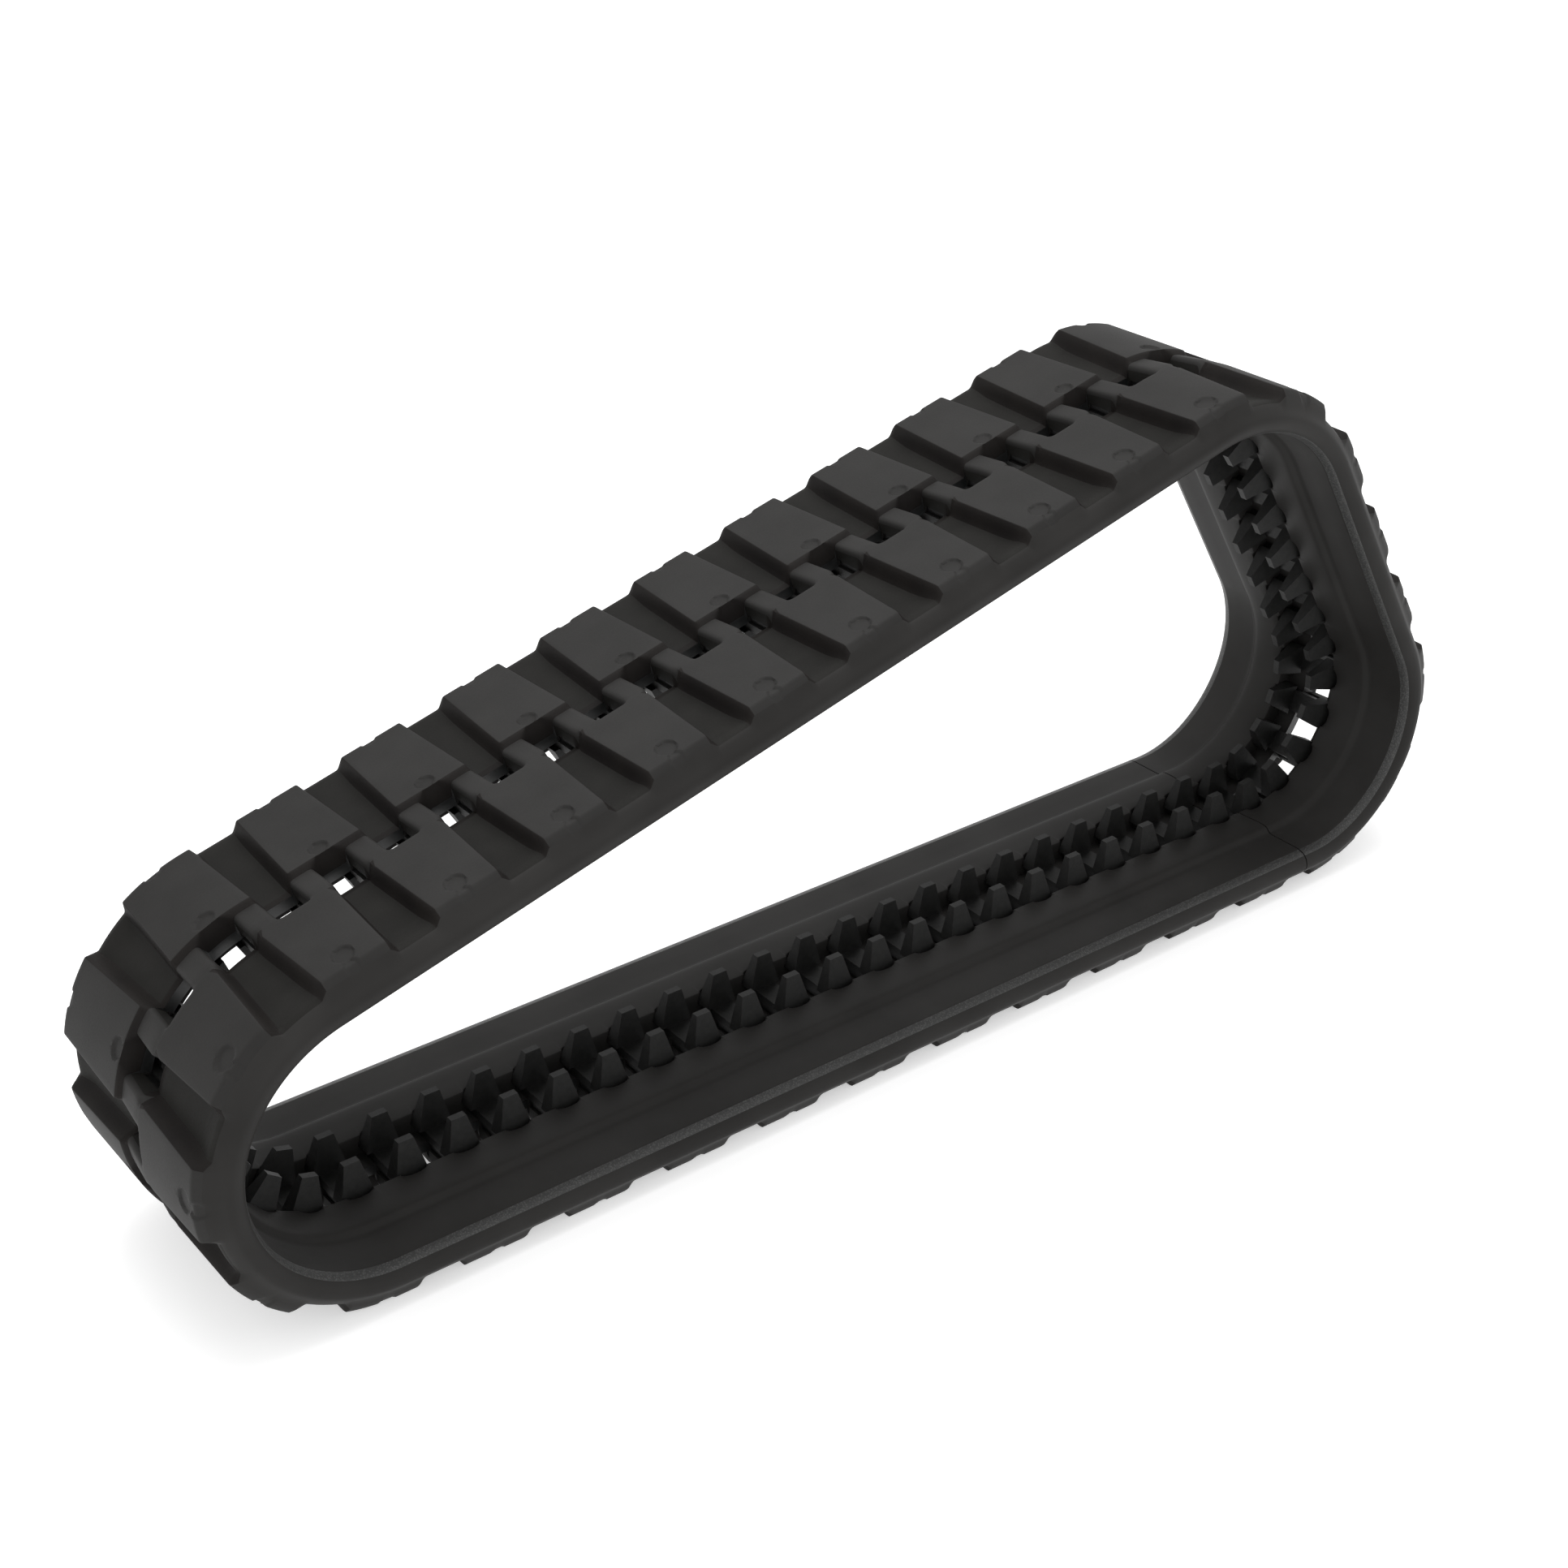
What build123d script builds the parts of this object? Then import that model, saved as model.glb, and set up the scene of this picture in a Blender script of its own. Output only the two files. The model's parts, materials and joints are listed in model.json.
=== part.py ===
"""Endless rubber track for a compact loader, laid out in its fitted triangle shape.

The belt follows one closed path at the height of its steel cords. The path has three
straight runs and three wraps. Every layer of the belt is a section swept along that path,
and every steel core and cap bar stands at its own station on it.

+X points to the rear (drive sprocket side), +Z up, the left edge is +Y.
"""

from build123d import *
from math import cos, degrees, pi, radians, sin
import os

# ---- driving dimensions, mm and degrees ----
pitch = 86.0            # core to core, along the cords
n_cores = 62            # even, because one lug covers two cores
belt_width = 450.0
top_slope = 14.85       # the top run rises to the rear by this angle
rear_lean = 30.95       # the rear run leans forward by this angle
idler_radius = 229.5    # front and rear idlers, to the cords
drive_teeth = 19        # the sprocket's pitch circle sets the third wrap
first_lug = 62.0        # first left lug, from the front end of the ground run

lug_top = 44.0          # heights are measured outward from the cords
valley_floor = 18.0
shoulder_floor = 25.0   # the valley rises to this at the belt's edge
cap_top = 36.0
hump_top = 12.0
cord_half = 1.5
core_play = 0.3         # between a core's wings and the cords, where the belt bends most
wing_floor = -18.0
inner_floor = -26.0
rail_crest = -36.5
horn_tip = -76.0

channel_half = 30.0     # the tread rubber stops here, beside the sprocket holes
right_lug_inner = 46.0
lug_outer = belt_width / 2 - 27
lug_half_inner = 57.5   # half a lug's length beside the channel
lug_half_outer = 48.5   # and at its outer end
rail_outer = 125.0
edge_line = belt_width / 2 - 24
cord_inner = 62.0
cord_outer = belt_width / 2 - 20
wing_reach = belt_width / 3
core_length = 38.0      # along the belt
hump_length = 30.0
horn_base = (54.0, 28.0)    # along the belt, across it
horn_end = (25.0, 12.0)
horn_offset = (42.6, 38.0)  # of the base's and the tip's middle, from the belt's middle
horn_clearance = 0.4
carcass_inner = horn_offset[0] + horn_base[1] / 2 + horn_clearance  # inner rubber stops here
bar_round = 8.0             # rounding of a cap bar's top edges
hump_clearance = 2.0        # between a core's hump and the channel's walls

sag_angle = 3.0         # each half of the top run swings down by up to this
flex_gap = 0.5          # play at the cords where two bodies meet
slip_gap = 3.0          # play where the loop is opened

# ---- the path ----
drive_radius = drive_teeth * pitch / (2 * pi)
core_bow = (core_length / 2) ** 2 / (2 * min(idler_radius, drive_radius))
wing_top = -(cord_half + core_play + core_bow)
wrap_rear = radians(90 + rear_lean)
wrap_drive = radians(90 + top_slope) - radians(rear_lean)
wrap_front = 2 * pi - wrap_rear - wrap_drive
loop_length = n_cores * pitch


def turn(radius, start, end):
    """Displacement along a left-hand bend between two headings."""
    return radius * (sin(end) - sin(start)), radius * (cos(start) - cos(end))


def run_lengths():
    """The three straight runs that close the loop at exactly n_cores pitches."""
    heads = (0.0, wrap_rear, wrap_rear + wrap_drive, 2 * pi)
    bends = [turn(r, a, b) for r, a, b in
             zip((idler_radius, drive_radius, idler_radius), heads, heads[1:])]
    ax = sum(b[0] for b in bends)
    az = sum(b[1] for b in bends)
    straight = loop_length - idler_radius * (wrap_rear + wrap_front) - drive_radius * wrap_drive
    c2, s2 = cos(heads[1]), sin(heads[1])
    c3, s3 = cos(heads[2]), sin(heads[2])
    det = (1 - c2) * s3 - (1 - c3) * s2
    rear = ((straight + ax) * s3 + az * (1 - c3)) / det
    top = (-az * (1 - c2) - (straight + ax) * s2) / det
    return straight - rear - top, rear, top


def build_path():
    """Pieces of the path as (start, length, x, z, heading, radius); radius 0 is straight."""
    ground, rear, top = run_lengths()
    plan = [(ground, 0), (idler_radius * wrap_rear, idler_radius), (rear, 0),
            (drive_radius * wrap_drive, drive_radius), (top, 0),
            (idler_radius * wrap_front, idler_radius)]
    pieces = []
    s, x, z, head = 0.0, 0.0, lug_top, 0.0
    for length, radius in plan:
        pieces.append((s, length, x, z, head, radius))
        if radius:
            dx, dz = turn(radius, head, head + length / radius)
            x, z, head = x + dx, z + dz, head + length / radius
        else:
            x, z = x + length * cos(head), z + length * sin(head)
        s += length
    return pieces


path = build_path()


def along(piece, d):
    """Point and heading at distance d into one piece of the path."""
    start, length, x, z, head, radius = piece
    if radius:
        dx, dz = turn(radius, head, head + d / radius)
        return x + dx, z + dz, head + d / radius
    return x + d * cos(head), z + d * sin(head), head


def locate(s):
    """Point and heading of the path at length s."""
    s = s % loop_length
    piece = [p for p in path if p[0] <= s][-1]
    return along(piece, s - piece[0])


def across(x, z, head):
    """Plane across the belt: its x points to the right edge, its y outward."""
    return Plane(origin=(x, 0, z), x_dir=(0, -1, 0), z_dir=(cos(head), 0, sin(head)))


def section_plane(s):
    return across(*locate(s))


def side_plane(s):
    """Plane along the belt at s: its x runs along the belt, its y outward."""
    x, z, head = locate(s)
    return Plane(origin=(x, 0, z), x_dir=(cos(head), 0, sin(head)), z_dir=(0, 1, 0))


def flat_plane(s, height):
    """Plane on the belt at s and height: its x along the belt, its y to the left edge."""
    x, z, head = locate(s)
    out = (sin(head), 0, -cos(head))
    origin = (x + height * out[0], 0, z + height * out[2])
    return Plane(origin=origin, x_dir=(cos(head), 0, sin(head)), z_dir=(-out[0], 0, -out[2]))


def ribbon(points, start, end):
    """A closed section, as (offset to the right, height) points, swept from start to end."""
    with BuildPart() as body:
        for turns in (0, loop_length):
            for piece in path:
                a = max(start, piece[0] + turns)
                b = min(end, piece[0] + piece[1] + turns)
                if b - a < 1e-3:
                    continue
                x, z, head = along(piece, a - piece[0] - turns)
                with BuildSketch(across(x, z, head)):
                    with BuildLine():
                        Polyline(*points, close=True)
                    make_face()
                radius = piece[5]
                if radius:
                    hub = (x - radius * sin(head), 0, z + radius * cos(head))
                    revolve(axis=Axis(hub, (0, -1, 0)), revolution_arc=degrees((b - a) / radius))
                else:
                    extrude(amount=b - a)
    return body.part


def one_side(side, points):
    """Section points for the left (+1) or right (-1) band from (distance, height) pairs."""
    return [(-side * w, h) for w, h in points]


half = belt_width / 2
tread_section = [
    (channel_half, -cord_half), (channel_half, valley_floor), (150, valley_floor),
    (edge_line, shoulder_floor), (half - 9, shoulder_floor), (half, 14), (half, -cord_half),
    (cord_outer, -cord_half), (cord_outer, cord_half), (cord_inner, cord_half),
    (cord_inner, -cord_half)]
carcass_section = [
    (carcass_inner, -cord_half), (half, -cord_half), (half, -10), (half - 11, inner_floor + 1),
    (edge_line, inner_floor), (rail_outer + 8, inner_floor), (rail_outer, rail_crest + 0.5),
    (rail_outer - 14, rail_crest), (carcass_inner + 14, rail_crest + 1.5),
    (carcass_inner, rail_crest + 5)]
cord_section = [
    (cord_inner, -cord_half), (cord_outer, -cord_half),
    (cord_outer, cord_half), (cord_inner, cord_half)]


def lug_section(inner):
    return [(inner, valley_floor - 8), (inner, lug_top - 2), (inner + 2, lug_top),
            (lug_outer - 2, lug_top), (lug_outer + 5, lug_top - 8),
            (half - 11, shoulder_floor - 3), (half - 11, valley_floor - 8)]


# ---- body boundaries ----
first_cut = first_lug % pitch
tangents = []
for piece in path[1:]:
    tangents.append(piece[0])
cuts = [round((t - first_cut) / pitch) for t in tangents]
rear_wrap_cut, rear_run_cut, drive_cut, top_cut, front_cut = cuts
front_cut -= (front_cut - top_cut) % 2      # both halves of the top run are alike
mid_cut = (top_cut + front_cut) // 2
lower_cut = (front_cut + n_cores + 1) // 2


def cut_at(j):
    return first_cut + j * pitch


spans = {
    "ground_run": (0, rear_wrap_cut),
    "rear_wrap": (rear_wrap_cut, rear_run_cut),
    "rear_run": (rear_run_cut, drive_cut),
    "sprocket_wrap": (drive_cut, top_cut),
    "top_rear": (top_cut, mid_cut),
    "top_front": (mid_cut, front_cut),
    "front_wrap_upper": (front_cut, lower_cut),
    "front_wrap_lower": (lower_cut, n_cores),
}
bend = 2 * sin(radians(sag_angle))
reach = lug_top + 4
mid_open = flex_gap / 2 + 1.1 * bend * reach / 2
end_open = flex_gap / 2 + 0.6 * bend * reach / 2
gaps = {    # half widths of the gap on the inner side, at the cords and at the lug tops
    rear_wrap_cut: (slip_gap / 2, slip_gap / 2, slip_gap / 2),
    top_cut: (end_open, flex_gap / 2, flex_gap / 2),
    mid_cut: (flex_gap / 2, flex_gap / 2, mid_open),
    front_cut: (end_open, flex_gap / 2, flex_gap / 2),
}


def gap_cutter(j):
    inner, mid, outer = gaps[j]
    with BuildPart() as cutter:
        with BuildSketch(side_plane(cut_at(j))):
            with BuildLine():
                Polyline((-inner, -reach), (-mid, 0), (-outer, reach), (outer, reach),
                         (mid, 0), (inner, -reach), close=True)
            make_face()
        extrude(amount=belt_width, both=True)
    return cutter.part


cutters = {j: gap_cutter(j) for j in gaps}


def lug(side, centre, start, end):
    """One tread lug, clipped to its span, its ends drawn in toward the belt's edge."""
    inner = channel_half if side > 0 else right_lug_inner
    a, b = max(centre - lug_half_inner, start), min(centre + lug_half_inner, end)
    with BuildPart() as block:
        add(ribbon(one_side(side, lug_section(inner)), a, b))
        for s, sign in ((centre - lug_half_inner, -1), (centre + lug_half_inner, 1)):
            if not start - 1 <= s <= end + 1:
                continue
            with BuildSketch(flat_plane(s, lug_top + 20)):
                taper = lug_half_inner - lug_half_outer
                with BuildLine():
                    Polyline((sign * 9, side * 35), (sign * -0.01, side * 35),
                             (-sign * taper, side * lug_outer), (-sign * taper, side * half),
                             (sign * 9, side * half), close=True)
                make_face()
            extrude(amount=60, mode=Mode.SUBTRACT)
    return block.part


def tread(side, name):
    j0, j1 = spans[name]
    start, end = cut_at(j0), cut_at(j1)
    with BuildPart() as band:
        add(ribbon(one_side(side, tread_section), start, end))
        for j in range(j0, j1 + 1):
            if (j % 2 == 0) == (side > 0):
                add(lug(side, cut_at(j), start, end))
        for j in (j0, j1):
            if j in cutters:
                add(cutters[j], mode=Mode.SUBTRACT)
    return band.part


def core_stations(name):
    j0, j1 = spans[name]
    return [cut_at(j) + pitch / 2 for j in range(j0, j1)]


def wing_box(s):
    with BuildPart() as wings:
        with BuildSketch(section_plane(s)):
            with Locations((0, (wing_top + wing_floor) / 2)):
                Rectangle(2 * wing_reach, wing_top - wing_floor)
        extrude(amount=core_length / 2, both=True)
    return wings.part


def carcass(side, name):
    j0, j1 = spans[name]
    with BuildPart() as band:
        add(ribbon(one_side(side, carcass_section), cut_at(j0), cut_at(j1)))
        for s in core_stations(name):
            add(wing_box(s), mode=Mode.SUBTRACT)
        for j in (j0, j1):
            if j in cutters:
                add(cutters[j], mode=Mode.SUBTRACT)
    return band.part


def cords(name):
    j0, j1 = spans[name]
    a = cut_at(j0) + (gaps[j0][1] if j0 in gaps else 0)
    b = cut_at(j1) - (gaps[j1][1] if j1 in gaps else 0)
    with BuildPart() as strips:
        for side in (1, -1):
            add(ribbon(one_side(side, cord_section), a, b))
    return strips.part


def cores(name):
    """The span's forged cores, each with two wings, a hump and two guide horns."""
    with BuildPart() as group:
        for s in core_stations(name):
            add(wing_box(s))
            with BuildSketch(section_plane(s)):
                with Locations((0, (hump_top + wing_floor) / 2 + 1)):
                    Rectangle(2 * (channel_half - hump_clearance), hump_top - wing_floor - 2)
            extrude(amount=hump_length / 2, both=True)
            for side in (1, -1):
                with BuildSketch(flat_plane(s, wing_floor + 0.01)):
                    with Locations((0, side * horn_offset[0])):
                        Rectangle(*horn_base)
                with BuildSketch(flat_plane(s, horn_tip)):
                    with Locations((0, side * horn_offset[1])):
                        Rectangle(*horn_end)
                loft()
    return group.part


def cap_bars(name):
    """Rubber over each core's hump, from the left lug's wall to the right lug."""
    with BuildPart() as group:
        for s in core_stations(name):
            with BuildSketch(side_plane(s)) as outline:
                with BuildLine():
                    side, top = core_length / 2, core_length / 2 - bar_round
                    Polyline((-side, valley_floor), (-side, cap_top - bar_round),
                             (-top, cap_top), (top, cap_top), (side, cap_top - bar_round),
                             (side, valley_floor), close=True)
                make_face()
            extrude(amount=channel_half)
            extrude(outline.sketch, amount=-right_lug_inner)
            with BuildSketch(side_plane(s)):
                with Locations((0, (hump_top + valley_floor + 1) / 2)):
                    Rectangle(core_length, valley_floor + 1 - hump_top)
            extrude(amount=channel_half, both=True)
    return group.part


parts = {}
for name in spans:
    parts[f"tread_left_{name}"] = tread(1, name)
    parts[f"tread_right_{name}"] = tread(-1, name)
    parts[f"carcass_left_{name}"] = carcass(1, name)
    parts[f"carcass_right_{name}"] = carcass(-1, name)
    parts[f"cords_{name}"] = cords(name)
    parts[f"cores_{name}"] = cores(name)
    parts[f"cap_bars_{name}"] = cap_bars(name)

boxes = [part.bounding_box() for part in parts.values()]
middle = (min(b.min.X for b in boxes) + max(b.max.X for b in boxes)) / 2

os.makedirs("parts", exist_ok=True)
for name, part in parts.items():
    moved = Pos(-middle, 0, 0) * part
    moved.label = name
    export_step(moved, f"parts/{name}.step")
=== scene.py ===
"""Looks of an endless rubber track for a compact loader, in its fitted triangular shape.

The belt is modelled flat, as a closed ring of points at each column of a two-pitch pattern:
lug tops, drafted lug ends, valleys, cross bars and sprocket holes outside, roller rails and
horn recesses inside. The rings are then laid along the belt's closed path round the three
wheels. Lengths in the section are in millimetres; everything in the scene is in metres.
"""

import json
from math import asin, atan2, hypot, pi, radians
import bmesh
import bpy
import numpy as np
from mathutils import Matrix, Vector


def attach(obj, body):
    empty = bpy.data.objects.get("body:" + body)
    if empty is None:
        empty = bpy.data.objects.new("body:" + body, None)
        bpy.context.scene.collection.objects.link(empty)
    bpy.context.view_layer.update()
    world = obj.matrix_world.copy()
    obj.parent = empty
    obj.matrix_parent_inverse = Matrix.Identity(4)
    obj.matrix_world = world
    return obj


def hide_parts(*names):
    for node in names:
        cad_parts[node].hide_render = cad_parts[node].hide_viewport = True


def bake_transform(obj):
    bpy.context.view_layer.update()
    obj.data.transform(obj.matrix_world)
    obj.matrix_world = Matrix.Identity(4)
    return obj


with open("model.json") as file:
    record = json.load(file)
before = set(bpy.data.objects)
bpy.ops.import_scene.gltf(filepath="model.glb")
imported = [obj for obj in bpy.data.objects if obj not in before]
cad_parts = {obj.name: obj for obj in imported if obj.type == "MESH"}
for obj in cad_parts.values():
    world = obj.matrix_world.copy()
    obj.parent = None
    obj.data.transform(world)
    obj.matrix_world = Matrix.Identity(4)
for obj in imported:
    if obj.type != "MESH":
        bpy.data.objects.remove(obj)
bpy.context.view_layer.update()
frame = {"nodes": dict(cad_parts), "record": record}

MM = 0.001

# ---- the belt's path, at the height of its steel cords ----
LINKS = 62
NOMINAL_PITCH = 86.0            # core to core, in millimetres
IDLER_RADIUS = 229.5 * MM
SPROCKET_TEETH = 19
SPROCKET_RADIUS = SPROCKET_TEETH * NOMINAL_PITCH * MM / (2 * pi)
FIRST_LUG = 62.0 * MM           # middle of the first left lug, from the ground run's front end

places = {m["name"]: m["pos_m"] for m in frame["record"]["mounts"]}
wheels = [(places["front_idler_axis"], IDLER_RADIUS),
          (places["rear_idler_axis"], IDLER_RADIUS),
          (places["drive_sprocket_axis"], SPROCKET_RADIUS)]


def tangent_heading(a, b):
    """Heading of the straight run from wheel a to wheel b, both on its left."""
    (pa, ra), (pb, rb) = a, b
    dx, dz = pb[0] - pa[0], pb[2] - pa[2]
    return atan2(dz, dx) + asin((ra - rb) / hypot(dx, dz))


def build_path():
    """Rows of start, x, z, heading, radius for each run and wrap, and the whole length."""
    heads = [tangent_heading(wheels[i], wheels[(i + 1) % 3]) % (2 * pi) for i in range(3)]
    heads[0] = 0.0 if heads[0] > pi else heads[0]      # rounding can make level a full turn
    rows, s = [], 0.0
    for i, head in enumerate(heads):
        (pa, ra), (pb, rb) = wheels[i], wheels[(i + 1) % 3]
        out = np.array([np.sin(head), -np.cos(head)])
        a = np.array([pa[0], pa[2]]) + ra * out
        b = np.array([pb[0], pb[2]]) + rb * out
        rows.append((s, a[0], a[1], head, 0.0))
        s += hypot(*(b - a))
        rows.append((s, b[0], b[1], head, rb))
        s += rb * ((heads[(i + 1) % 3] - head) % (2 * pi))
    return np.array(rows), s


path, loop_length = build_path()
PITCH = loop_length / LINKS


def lay(s, height, across):
    """Points at length s along the path, height outward from the cords, and across the belt."""
    s = np.mod(s, loop_length)
    row = path[np.searchsorted(path[:, 0], s, side="right") - 1]
    d, head, radius = s - row[..., 0], row[..., 3], row[..., 4]
    bent = radius > 0
    r = np.where(bent, radius, 1.0)
    turned = head + np.where(bent, d / r, 0.0)
    x = row[..., 1] + np.where(bent, r * (np.sin(turned) - np.sin(head)), d * np.cos(head))
    z = row[..., 2] + np.where(bent, r * (np.cos(head) - np.cos(turned)), d * np.sin(head))
    return np.stack([x + height * np.sin(turned), across, z - height * np.cos(turned)], axis=-1)


def cut(j):
    """Length along the path at body boundary j, which is the middle of a sprocket hole."""
    return FIRST_LUG + j * PITCH


# ---- the belt's section, in millimetres ----
# u runs along the belt from a left lug's middle, v across it to the left, heights outward
HALF_PERIOD = NOMINAL_PITCH     # from a left lug's middle to the next right lug's middle
STEPS = 22                      # columns of faces in a half period
HOLE_END = 4                    # the hole reaches to this column, and the bar starts there
WALL_COLUMN, FLOOR_COLUMN = 14, 19      # a lug's end wall starts here, the valley's floor there
LEFT_HOLE, RIGHT_HOLE = 23.0, 32.0      # the hole's edges, from the belt's middle
HOLE_RIM = 15.0                 # height of the hole's rim beside the lugs
LUG_TOP, BAR_TOP, CORE_CAP = 44.0, 37.0, 11.5
BAR_RISE = 6.6                  # a bar climbs by this from the left lug to the right one
LUG_HALF_IN, LUG_HALF_OUT = 57.5, 48.5  # half a lug's length at its inner and outer ends
LUG_OUTER = 198.0               # where a lug's outer end is
LUG_INNER_LEFT, LUG_INNER_RIGHT = 31.5, 42.0    # where the lugs' inner walls meet their tops
DRAFT = 10.0                    # run of a lug's end wall
HORN_GAP = 57.0                 # the inner rubber stops here, beside the horns
RECESS = (21.0, 9.0)            # half-round recess in the rail beside each horn, along and across
RECESS_ROUND = [(6, -34.6), (1.6, -33.4), (0.3, -31.5)]     # its rim: distance past it, height
RECESS_FLOOR = -19.5
LEDGE = -1.5                    # height of the ledge between the horns and the hole
HAIR = 0.05                     # lines one over the other are offset by a few of these
BELT_EDGE = 206.0               # beyond this the outer face is the plain belt edge

# where the section's lines run on the outer face: closer at lug ends, dishes and hole edges
RIGHT_LINES = [225, 221.5, 218, 213, 210, 207, 204, 201, 198.5, 196, 193.5, 191, 188.5, 186, 183.5,
               181, 178, 175, 172, 169, 166.5, 164, 161.5, 159, 156, 145, 120, 95, 70, 60, 56,
               52, 49, 46, 43.5, 42, 39, 36, 32]
CENTRE_LINES = [-22, -10, 2, 12, 20]
LEFT_LINES = [23, 27.5, 31.5, 33.5, 36, 39, 42, 45, 48, 51, 54, 56.5, 59, 64, 80, 105, 130, 150, 165,
              178, 186, 188.5, 191, 193.5, 196, 198.5, 201, 204, 207, 210, 213, 218, 221.5, 225]
outer_v = np.array([-w for w in RIGHT_LINES] + CENTRE_LINES + LEFT_LINES, float)
N_OUTER = len(outer_v)
RIGHT_EDGE = len(RIGHT_LINES) - 1                       # ring index of the right hole edge
LEFT_EDGE = RIGHT_EDGE + len(CENTRE_LINES) + 1          # and of the left one

# inner face of one side from the belt's edge to the horns, as (distance across, height)
RAIL_FOOT = 143.0
INNER_FACE = [(225, -5), (222, -14), (217.5, -19.5), (213.5, -22), (208, -24), (203.2, -25.4),
              (201.8, -25.8), (200.4, -26), (170, -26), (RAIL_FOOT, -26), (136, -26.6),
              (132, -29.5), (128.5, -33.6), (124.5, -35.6), (118, -36.4), (108, -36.7),
              (96, -36.3), (84, -35.4)]
GRAIN_AND_GLINT_STRIP = (2, 3, 4)         # faces of INNER_FACE that carry the moulded grain, with its painted highlight

# outer lines near the belt's edge, as distances across and heights
VALLEY_LINE = ([145, 165, 178, 187, 194, 198.5, 205, 207, 213, 218, 221.5, 225],
               [18, 18.8, 20.8, 22.9, 24.3, 24.8, 23.6, 22.6, 18.2, 12.5, 8.5, 3])
LUG_LINE = ([194, 196, 198.5, 205, 207, 213, 218, 221.5, 225],
            [LUG_TOP, LUG_TOP - 0.3, 43, 36, 33.2, 19.5, 12.5, 8.5, 3])
LEFT_RISE = ([LEFT_HOLE, 27.5, LUG_INNER_LEFT, 33.5], [0, 0.64, 0.975, 1])  # rim to lug, as a share
RIGHT_RISE = ([RIGHT_HOLE, 36, 39, LUG_INNER_RIGHT, 43.5, 46], [0, 0.12, 0.42, 0.86, 0.97, 1])

# over this far across, the columns turn from the centre's or the rail's to the lugs'
LEFT_TURN, RIGHT_TURN, INNER_TURN = 9.0, 14.0, 70.0
LEDGE_TURN = 45.0               # the ledge's columns are the centre's from here inward

# at each column of a half period: share of the lug's height, height of the bar, and place
lug_share = np.array([1.0] * WALL_COLUMN + [0.988, 0.94, 0.66, 0.40, 0.15, 0.02, 0, 0, 0])
bar_half = [28, 33, 35.8, 36.8, BAR_TOP, BAR_TOP]
rim = [HOLE_RIM] * HOLE_END
bar_height = np.array(rim + bar_half + [BAR_TOP] * 3 + bar_half[::-1] + rim)
bar_slope = (bar_height > HOLE_RIM) * 1.0
centre_u = np.array([0, 8, 16, 21, 24, 25.2, 27.5, 31, 36, 38.5, 41, 43, 45, 47.5, 50, 55, 58.5, 60.8,
                     62, 65, 70, 78, HALF_PERIOD])
rail_u = np.array([0, 8, 16, 21, 22, 22.8, 25, 29, 33, 36.5, 40, 43, 46, 49.5, 53, 57, 61, 63.2, 64, 65,
                   70, 78, HALF_PERIOD])


def lug_columns(w):
    """Column positions on the left half of the belt, following the lug's tapered end."""
    end = np.interp(w, [LEFT_HOLE, LUG_OUTER], [LUG_HALF_IN, LUG_HALF_OUT])
    dished = np.array([0, 2.5, 5, 7.5, 10, 12, 14, 16, 18.5, 21.5, 26])
    plain = dished[-1] + (end - 2 - dished[-1]) * np.array([0.35, 0.7, 1])
    wall = end + np.array([-0.5, 0.6, 3.3, 5.6, 7.8, DRAFT, DRAFT + 5])
    return np.array([*dished, *plain, *wall, (wall[-1] + HALF_PERIOD) / 2, HALF_PERIOD])


def side_columns(v):
    """Column positions at v: the right half mirrors the left one half a period on."""
    return lug_columns(v) if v > 0 else HALF_PERIOD - lug_columns(-v)[::-1]


def mix(a, b, t):
    """From a to b as t goes from 0 to 1."""
    t = min(max(t, 0.0), 1.0)
    return a * (1 - t) + b * t


def outer_columns(v):
    """Column positions on the outer face: the centre's by the holes, the lugs' further out."""
    if v > 0:
        return mix(centre_u, side_columns(v), (v - LEFT_HOLE) / LEFT_TURN)
    return mix(centre_u, side_columns(v), (-v - LUG_INNER_RIGHT) / RIGHT_TURN)


def outer_height(v):
    """Heights of a half period's columns along the outer line at v."""
    floor = np.interp(abs(v), *VALLEY_LINE)
    lug = np.interp(abs(v), *LUG_LINE)
    band = floor + (lug - floor) * (lug_share if v > 0 else lug_share[::-1])
    rise = 0.0
    if v >= LEFT_HOLE:
        rise = np.interp(v, *LEFT_RISE)
    elif v <= -RIGHT_HOLE:
        rise = np.interp(-v, *RIGHT_RISE)
    bar = bar_height + bar_slope * np.interp(v, [-RIGHT_HOLE, LEFT_HOLE], [BAR_RISE, 0])
    return bar + (band - bar) * rise


def dish(u, v, centre, radii, depth):
    """Depth of a shallow dish in a lug's top: its rim slopes over a seventh of its radius."""
    r = np.hypot((u - centre[0]) / radii[0], (v - centre[1]) / radii[1])
    t = np.clip((1 - r) * 7, 0, 1)
    return depth * t * t * (3 - 2 * t)


# each dish's middle as (u, v), its radii and its depth
DISHES = [((1, 45), (14.5, 13), 3.6), ((4, 199), (12, 11), 2.6),
          ((2 + HALF_PERIOD, -175), (16, 17), 3.4), ((4 + HALF_PERIOD, -200), (11, 11), 2.8)]


def level(value):
    """One value at every column."""
    return np.full(STEPS + 1, float(value))


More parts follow.
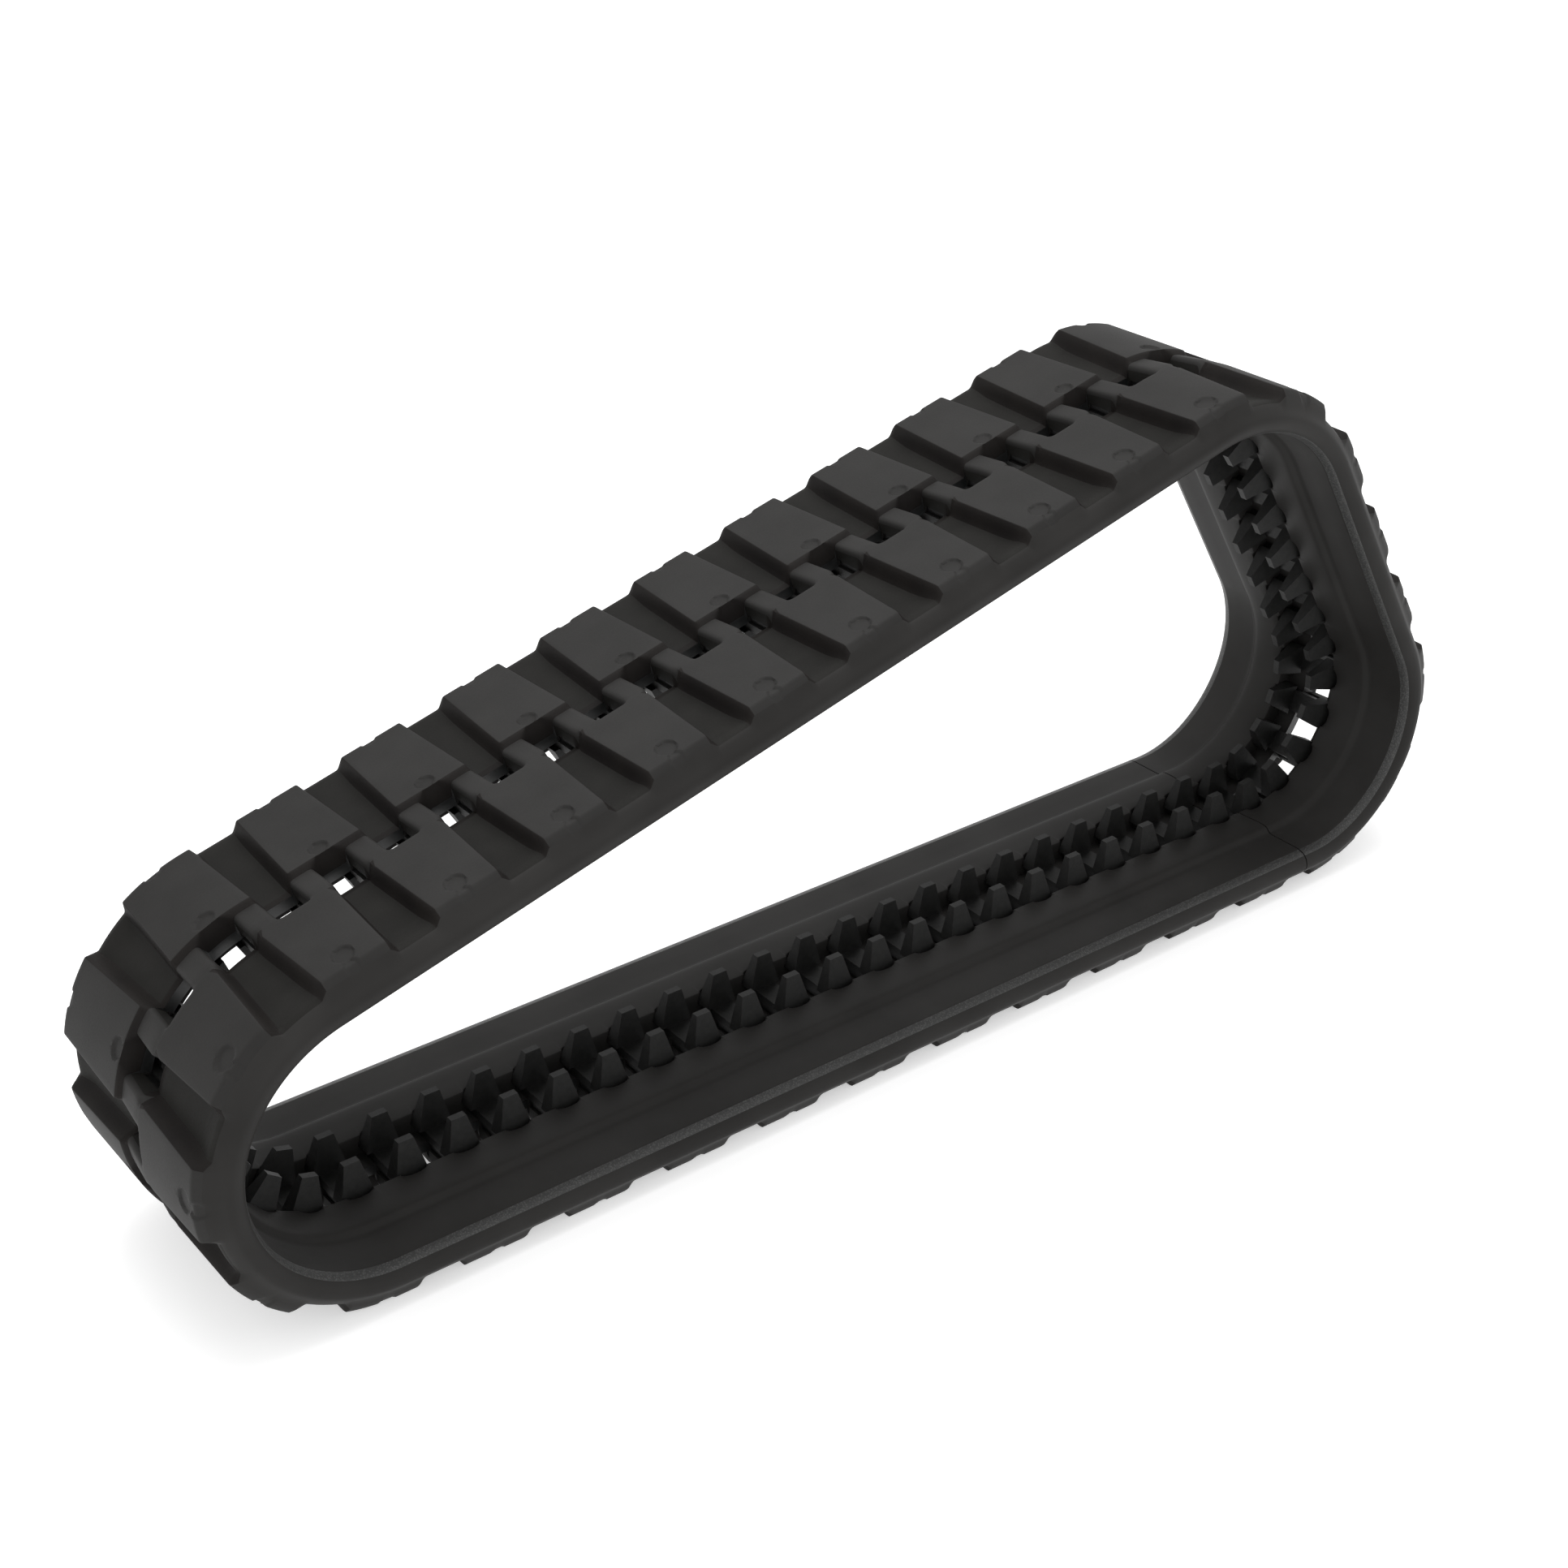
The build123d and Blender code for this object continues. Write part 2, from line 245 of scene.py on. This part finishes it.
def inner_side(side, hole_edge):
    """Lines of the inner face from the belt's edge to the hole, on the left (1) or right (-1)."""
    recess = RECESS[1] * np.sqrt(np.clip(1 - ((rail_u - HALF_PERIOD / 2) / RECESS[0]) ** 2, 0, 1))
    wall = HORN_GAP + recess
    lines = []
    for w, h in INNER_FACE:
        u = mix(rail_u, side_columns(side * w), (w - RAIL_FOOT) / INNER_TURN)
        lines.append((u, level(h), level(side * w)))
    for beyond, h in RECESS_ROUND:
        lines.append((rail_u, level(h), side * (wall + beyond)))
    lines.append((rail_u, level(RECESS_FLOOR), side * (wall - HAIR)))
    lines.append((rail_u, level(RECESS_FLOOR + 0.5), level(side * (HORN_GAP - 2 * HAIR))))
    lines.append((rail_u, level(LEDGE), level(side * (HORN_GAP - 4 * HAIR))))
    lines.append((centre_u, level(LEDGE), level(side * LEDGE_TURN)))
    lines.append((centre_u, level(LEDGE), level(side * hole_edge)))
    return lines


def half_period(odd):
    """One half period's u, heights and v, each as an array of columns by ring points."""
    ring = [(outer_columns(v), outer_height(v), level(v)) for v in outer_v]
    ring += inner_side(1, LEFT_HOLE)
    ring += [(centre_u, level(CORE_CAP), level(v)) for v in CENTRE_LINES[::-1]]
    ring += inner_side(-1, RIGHT_HOLE)[::-1]
    u, h, v = (np.array([line[i] for line in ring]).T for i in range(3))
    if odd:
        u, h, v = 2 * HALF_PERIOD - u[::-1], h[::-1], v[::-1]
    for centre, radii, depth in DISHES:
        lines = np.nonzero(outer_v >= LEFT_HOLE if centre[1] > 0 else outer_v <= -RIGHT_HOLE)[0]
        for shift in (0, 2 * HALF_PERIOD):
            h[:, lines] -= dish(u[:, lines] - shift, v[:, lines], centre, radii, depth)
    return u, h, v


pattern = (half_period(False), half_period(True))
N_RING = pattern[0][0].shape[1]
LEFT_UNDER = N_OUTER + len(inner_side(1, LEFT_HOLE)) - 1     # ring index under the left hole edge
RIGHT_UNDER = LEFT_UNDER + len(CENTRE_LINES) + 1            # and under the right one

# a face's kind is its place in the list of rubbers
TREAD, CARCASS, GRAIN_AND_GLINT, VALLEY_FLOOR, HOLE_WALL, LUG_WALL = range(6)


def over_hole(m):
    """Whether the faces between ring lines m and m + 1 are a bar's, with holes between bars."""
    return RIGHT_EDGE <= m < LEFT_EDGE or LEFT_UNDER <= m < RIGHT_UNDER


def lay_columns(first, last, start_gap, end_gap):
    """Points of all columns from boundary first to last, and each column's number in its half."""
    points, numbers = [], []
    for j in range(first, last):
        u, h, v = pattern[j % 2]
        keep = slice(0, STEPS + 1) if j == last - 1 else slice(0, STEPS)
        s = cut(j - j % 2) + u[keep] * PITCH / HALF_PERIOD
        if j == first:
            s[0] += start_gap
        if j == last - 1:
            s[-1] -= end_gap
        points.append(lay(s, h[keep] * MM, v[keep] * MM))
        number = np.arange(STEPS + 1)[keep]
        numbers.append(STEPS - number if j % 2 else number)
    return np.concatenate(points), np.concatenate(numbers)


def strip_kinds(m, low, open_cell):
    """Kinds of the faces between ring lines m and m + 1, by each cell's lower column number."""
    if m >= N_OUTER:
        grain_and_glint = min(m - N_OUTER, N_RING - 2 - m) in GRAIN_AND_GLINT_STRIP
        return np.full(len(low), GRAIN_AND_GLINT if grain_and_glint else CARCASS)
    middle = (outer_v[m] + outer_v[(m + 1) % N_OUTER]) / 2
    if abs(outer_v[m]) + abs(outer_v[(m + 1) % N_OUTER]) > 2 * BELT_EDGE:
        return np.full(len(low), CARCASS)
    kinds = np.full(len(low), TREAD)
    if over_hole(m):
        return kinds
    if 0 < middle < LUG_INNER_LEFT:
        kinds[:] = LUG_WALL
    elif -LUG_INNER_RIGHT < middle < 0:
        kinds[open_cell] = LUG_WALL
    else:
        from_lug = low if middle > 0 else STEPS - 1 - low
        kinds[from_lug >= WALL_COLUMN] = LUG_WALL
        kinds[from_lug >= FLOOR_COLUMN] = VALLEY_FLOOR
    return kinds


def strip_faces(number, rows, a, b):
    """Faces between ring lines a and b, over the given rows of cells."""
    return np.stack([number[rows, a], number[rows + 1, a],
                     number[rows + 1, b], number[rows, b]], axis=-1)


def belt_piece(name, first, last, materials, start_gap=0.0, end_gap=0.0):
    """The belt's rubber between boundaries first and last, as a closed mesh."""
    points, column = lay_columns(first, last, start_gap, end_gap)
    number = np.arange(len(points) * N_RING).reshape(-1, N_RING)
    low = np.minimum(column[:-1], column[1:])
    high = np.maximum(column[:-1], column[1:])
    open_cell = (high <= HOLE_END) | (low >= STEPS - HOLE_END)
    faces, kinds = [], []
    for m in range(N_RING):
        rows = np.nonzero(~(open_cell & over_hole(m)))[0]
        faces.append(strip_faces(number, rows, m, (m + 1) % N_RING))
        kinds.append(strip_kinds(m, low, open_cell)[rows])
    rows = np.nonzero(open_cell)[0]
    for over, under in ((RIGHT_EDGE, RIGHT_UNDER), (LEFT_EDGE, LEFT_UNDER)):
        faces.append(strip_faces(number, rows, over, under))
        kinds.append(np.full(len(rows), HOLE_WALL))
    ends = np.nonzero((column == HOLE_END) | (column == STEPS - HOLE_END))[0]
    for k in range(LEFT_EDGE - RIGHT_EDGE):
        over, under = RIGHT_EDGE + k, RIGHT_UNDER - k
        faces.append(np.stack([number[ends, over], number[ends, over + 1],
                               number[ends, under - 1], number[ends, under]], axis=-1))
        kinds.append(np.full(len(ends), VALLEY_FLOOR))
    polygons = np.concatenate(faces).tolist()
    kinds = np.concatenate(kinds).tolist()
    for end in (number[0], number[-1]):
        polygons.append(end[LEFT_EDGE:LEFT_UNDER + 1].tolist())
        polygons.append([*end[RIGHT_UNDER:].tolist(), *end[:RIGHT_EDGE + 1].tolist()])
        kinds += [CARCASS, CARCASS]
    return solid(name, points.reshape(-1, 3), polygons, kinds, materials)


SHARP_ANGLE = radians(40)       # edges that turn by more than this stay crisp


def solid(name, points, polygons, kinds, materials):
    """A mesh object from points and faces, without loose points, its faces turned outward."""
    used = np.zeros(len(points), bool)
    for polygon in polygons:
        used[polygon] = True
    renumber = np.cumsum(used) - 1
    mesh = bpy.data.meshes.new(name)
    mesh.from_pydata(points[used].tolist(), [], [renumber[f].tolist() for f in polygons])
    for material in materials:
        mesh.materials.append(material)
    mesh.polygons.foreach_set("material_index", kinds)
    work = bmesh.new()
    work.from_mesh(mesh)
    bmesh.ops.recalc_face_normals(work, faces=work.faces)
    work.to_mesh(mesh)
    work.free()
    mesh.shade_smooth()
    mesh.set_sharp_from_angle(angle=SHARP_ANGLE)
    piece = bpy.data.objects.new(name, mesh)
    bpy.context.scene.collection.objects.link(piece)
    return piece


# ---- materials ----
def colour(code):
    """An sRGB hex code as linear red, green, blue and alpha."""
    values = [int(code[i:i + 2], 16) / 255 for i in (0, 2, 4)]
    return (*[c / 12.92 if c <= 0.04045 else ((c + 0.055) / 1.055) ** 2.4 for c in values], 1.0)


def add_node(tree, kind, links=(), **settings):
    """A node with its settings, joined by (output, input name) links."""
    node = tree.nodes.new(kind)
    for key, value in settings.items():
        if key in node.inputs:
            node.inputs[key].default_value = value
        else:
            setattr(node, key, value)
    for output, name in links:
        tree.links.new(output, node.inputs[name])
    return node


def per_mm(size):
    """Texture scale, for coordinates in metres, that gives a pattern of that size in mm."""
    return 1000.0 / size


def new_material(name):
    """A material with its node tree, its shader and the point's place on the object."""
    material = bpy.data.materials.new(name)
    material.use_nodes = True
    tree = material.node_tree
    shader = tree.nodes["Principled BSDF"]
    point = tree.nodes.new("ShaderNodeTexCoord").outputs["Object"]
    return material, tree, shader, point


def new_rubber(name, specular=0.5):
    """A material that bends light as rubber does, with its level of mirror reflection."""
    material, tree, shader, point = new_material(name)
    shader.inputs["IOR"].default_value = 1.52
    shader.inputs["Specular IOR Level"].default_value = specular
    return material, tree, shader, point


def noise(tree, point, size, detail):
    """A soft noise whose patches have that size in mm."""
    node = add_node(tree, "ShaderNodeTexNoise", [(point, "Vector")],
                    Scale=per_mm(size), Detail=detail)
    return node.outputs["Fac"]


def two_tone(tree, shader, factor, dark, light, low=0.35, high=0.65):
    """Base colour that drifts between two tones with a noise."""
    ramp = add_node(tree, "ShaderNodeValToRGB", [(factor, "Fac")])
    ramp.color_ramp.elements[0].position = low
    ramp.color_ramp.elements[1].position = high
    ramp.color_ramp.elements[0].color = colour(dark)
    ramp.color_ramp.elements[1].color = colour(light)
    tree.links.new(ramp.outputs["Color"], shader.inputs["Base Color"])


def fine_grain(tree, shader, grain, smooth, rough, strength, depth):
    """Roughness from smooth to rough and a bump of that depth in mm, both from one noise."""
    spread = add_node(tree, "ShaderNodeMapRange", [(grain, "Value")],
                      **{"To Min": smooth, "To Max": rough})
    tree.links.new(spread.outputs["Result"], shader.inputs["Roughness"])
    bump = add_node(tree, "ShaderNodeBump", [(grain, "Height")],
                    Strength=strength, Distance=depth * MM)
    tree.links.new(bump.outputs["Normal"], shader.inputs["Normal"])


def moulded_tread_rubber():
    """Carbon-black tread rubber, compression moulded: charcoal, faintly satin on flat tops."""
    material, tree, shader, point = new_rubber("moulded_tread_rubber", specular=0.2)
    two_tone(tree, shader, noise(tree, point, 90, 4.0), "1b1a19", "201f1e")
    fine_grain(tree, shader, noise(tree, point, 2.2, 3.0), 0.56, 0.72, strength=0.12, depth=0.5)
    return material


def painted_shade_rubber(name, dark, light):
    """Tread rubber in the valleys or on the lugs' walls: painted darker than the tops, as painted
    shade.
    """
    material, tree, shader, point = new_rubber(name, specular=0.14)
    two_tone(tree, shader, noise(tree, point, 60, 4.0), dark, light)
    fine_grain(tree, shader, noise(tree, point, 2.2, 3.0), 0.6, 0.78, strength=0.12, depth=0.5)
    return material


def tooth_polished_rubber():
    """Walls of the sprocket holes, rubbed smooth by the teeth: dark and glossy."""
    material, tree, shader, point = new_rubber("tooth_polished_rubber")
    two_tone(tree, shader, noise(tree, point, 12, 5.0), "141515", "1c1d1d")
    shader.inputs["Roughness"].default_value = 0.32
    return material


def smooth_carcass_rubber():
    """Rubber of the inner face, pressed against a polished mould: smoother and evenly dark."""
    material, tree, shader, point = new_rubber("smooth_carcass_rubber", specular=0.1)
    two_tone(tree, shader, noise(tree, point, 140, 3.0), "222120", "282726")
    fine_grain(tree, shader, noise(tree, point, 1.6, 3.0), 0.46, 0.6, strength=0.1, depth=0.4)
    return material


def grained_edge_glint_rubber():
    """The strip by the belt's edge where the mould has a coarse grain: it catches the light, and the
    lighter specks on the grain are a painted highlight.
    """
    material, tree, shader, point = new_rubber("grained_edge_glint_rubber")
    cells = add_node(tree, "ShaderNodeTexVoronoi", [(point, "Vector")], Scale=per_mm(3.0))
    # the lighter tone in the grain's cells is a painted highlight; the cells' pattern itself is the
    # real grain
    two_tone(tree, shader, cells.outputs["Distance"], "373736", "1c1c1b", low=0.2, high=0.5)
    shader.inputs["Roughness"].default_value = 0.5
    bump = add_node(tree, "ShaderNodeBump", [(cells.outputs["Distance"], "Height")],
                    Strength=0.5, Distance=0.8 * MM, invert=True)
    tree.links.new(bump.outputs["Normal"], shader.inputs["Normal"])
    return material


def forged_core_steel():
    """Drop-forged steel with scale and a dark dip coat: near black, with a soft dull sheen."""
    material, tree, shader, point = new_material("forged_core_steel")
    shader.inputs["Metallic"].default_value = 0.35
    two_tone(tree, shader, noise(tree, point, 9, 6.0), "0f0f0e", "171716")
    fine_grain(tree, shader, noise(tree, point, 2.5, 4.0), 0.48, 0.68, strength=0.3, depth=0.5)
    return material


def brass_plated_cord():
    """Stranded steel cord with a brass plating: fine wires side by side, seen only at a cut."""
    material, tree, shader, point = new_material("brass_plated_cord")
    shader.inputs["Metallic"].default_value = 1.0
    shader.inputs["Roughness"].default_value = 0.35
    wires = add_node(tree, "ShaderNodeTexWave", [(point, "Vector")], Scale=per_mm(3.0) / 20,
                     bands_direction="Y")
    two_tone(tree, shader, wires.outputs["Fac"], "8d7a4d", "c9b98a", low=0.2, high=0.8)
    return material


def opal_light_table():
    """Opal acrylic lit from below: a pale floor whose own glow keeps its shadows faint."""
    material, tree, shader, point = new_material("opal_light_table")
    mottle = add_node(tree, "ShaderNodeTexNoise", [(point, "Vector")], Scale=per_mm(600))
    two_tone(tree, shader, mottle.outputs["Fac"], "dcdcdc", "e0e0e0")
    shader.inputs["Roughness"].default_value = 0.9
    shader.inputs["Emission Color"].default_value = colour("ffffff")
    shader.inputs["Emission Strength"].default_value = 0.45
    return material


# in the order of the kinds, from TREAD to LUG_WALL
# the valley and lug wall rubbers carry painted shade: their tones are darker than the tread on the tops
rubbers = [moulded_tread_rubber(), smooth_carcass_rubber(), grained_edge_glint_rubber(),
           painted_shade_rubber("valley_painted_shade_rubber", "141311", "191816"), tooth_polished_rubber(),
           painted_shade_rubber("lug_wall_painted_shade_rubber", "0f0c0b", "151210")]
core_steel, cord_brass = forged_core_steel(), brass_plated_cord()

# ---- the belt, cut where its bodies meet ----
SEAM, SPROCKET_HINGE, MID_HINGE, FRONT_HINGE = 20, 35, 44, 53
SLIP = 1.2 * MM             # half the slit at the seam, which closes as the top run sags

bodies = frame["record"]["behaviour"]["bodies"]


def hide_cad_rubber(body):
    """The piece stands for all plain rubber solids of its body."""
    kinds = ("tread_", "carcass_", "cap_bars_")
    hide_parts(*[n for n in bodies[body] if n.startswith(kinds)])


for name, body, first, last in (
        ("belt_ground_run", "ground", FRONT_HINGE + 1, SEAM + LINKS),
        ("belt_top_front", "top_front", MID_HINGE + 1, FRONT_HINGE - 1),
        ("belt_top_rear", "top_rear", SPROCKET_HINGE + 1, MID_HINGE - 1),
        ("belt_rear", "rear", SEAM, SPROCKET_HINGE - 1)):
    piece = belt_piece(name, first, last, rubbers,
                       SLIP if first == SEAM else 0.0, SLIP if body == "ground" else 0.0)
    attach(piece, body)
    hide_cad_rubber(body)

for name, a, b, hinge in (("belt_bend_sprocket", "rear", "top_rear", SPROCKET_HINGE),
                          ("belt_bend_middle", "top_rear", "top_front", MID_HINGE),
                          ("belt_bend_front", "top_front", "ground", FRONT_HINGE)):
    piece = belt_piece(name, hinge - 1, hinge + 1, rubbers)
    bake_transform(piece)

# ---- the steel inside, as it comes from the frame ----
for name, node in frame["nodes"].items():
    if name.startswith("cores_"):
        node.data.materials.clear()
        node.data.materials.append(core_steel)
        bevel = node.modifiers.new("forged_edges", "BEVEL")
        bevel.width = 2.2 * MM
        bevel.segments = 2
        bevel.limit_method = "ANGLE"
        bevel.angle_limit = radians(25)
    elif name.startswith("cords_"):
        node.data.materials.clear()
        node.data.materials.append(cord_brass)

# ---- floor, light and camera ----
FLOOR_HALF = 150.0
FLOOR_HEIGHT = -1 * MM          # a hair under the lugs
mesh = bpy.data.meshes.new("studio_floor")
mesh.from_pydata([(x * FLOOR_HALF, y * FLOOR_HALF, FLOOR_HEIGHT)
                  for x, y in ((-1, -1), (1, -1), (1, 1), (-1, 1))], [], [(0, 1, 2, 3)])
floor = bpy.data.objects.new("studio_floor", mesh)
bpy.context.scene.collection.objects.link(floor)
floor.data.materials.append(opal_light_table())

world = bpy.data.worlds.new("soft_studio")
bpy.context.scene.world = world
world.use_nodes = True
world.node_tree.nodes["Background"].inputs["Color"].default_value = colour("ffffff")
world.node_tree.nodes["Background"].inputs["Strength"].default_value = 1.0


def soft_box(name, place, aim, size, power):
    """A flat light of that width and depth, turned to its aim."""
    light = bpy.data.lights.new(name, "AREA")
    light.shape = "RECTANGLE"
    light.size, light.size_y = size
    light.energy = power
    lamp = bpy.data.objects.new(name, light)
    lamp.location = place
    lamp.rotation_euler = (Vector(aim) - Vector(place)).to_track_quat("-Z", "Y").to_euler()
    bpy.context.scene.collection.objects.link(lamp)


MIDDLE = (0.0, 0.0, 0.45)
soft_box("overhead_soft_box", (0.2, 0.4, 4.4), MIDDLE, (4.0, 3.0), 115)
soft_box("front_soft_box", (-3.2, -3.4, 2.6), MIDDLE, (2.5, 2.5), 30)

camera = bpy.data.cameras.new("camera")
camera.sensor_width = 36.0
camera.lens = 55.4
camera.clip_end = 400.0
viewer = bpy.data.objects.new("camera", camera)
viewer.location = (-2.033, -2.535, 2.204)
AIM = (-0.0936, 0.0, 0.4375)
viewer.rotation_euler = (Vector(AIM) - viewer.location).to_track_quat("-Z", "Y").to_euler()
bpy.context.scene.collection.objects.link(viewer)
bpy.context.scene.camera = viewer
bpy.context.scene.view_settings.view_transform = "Standard"
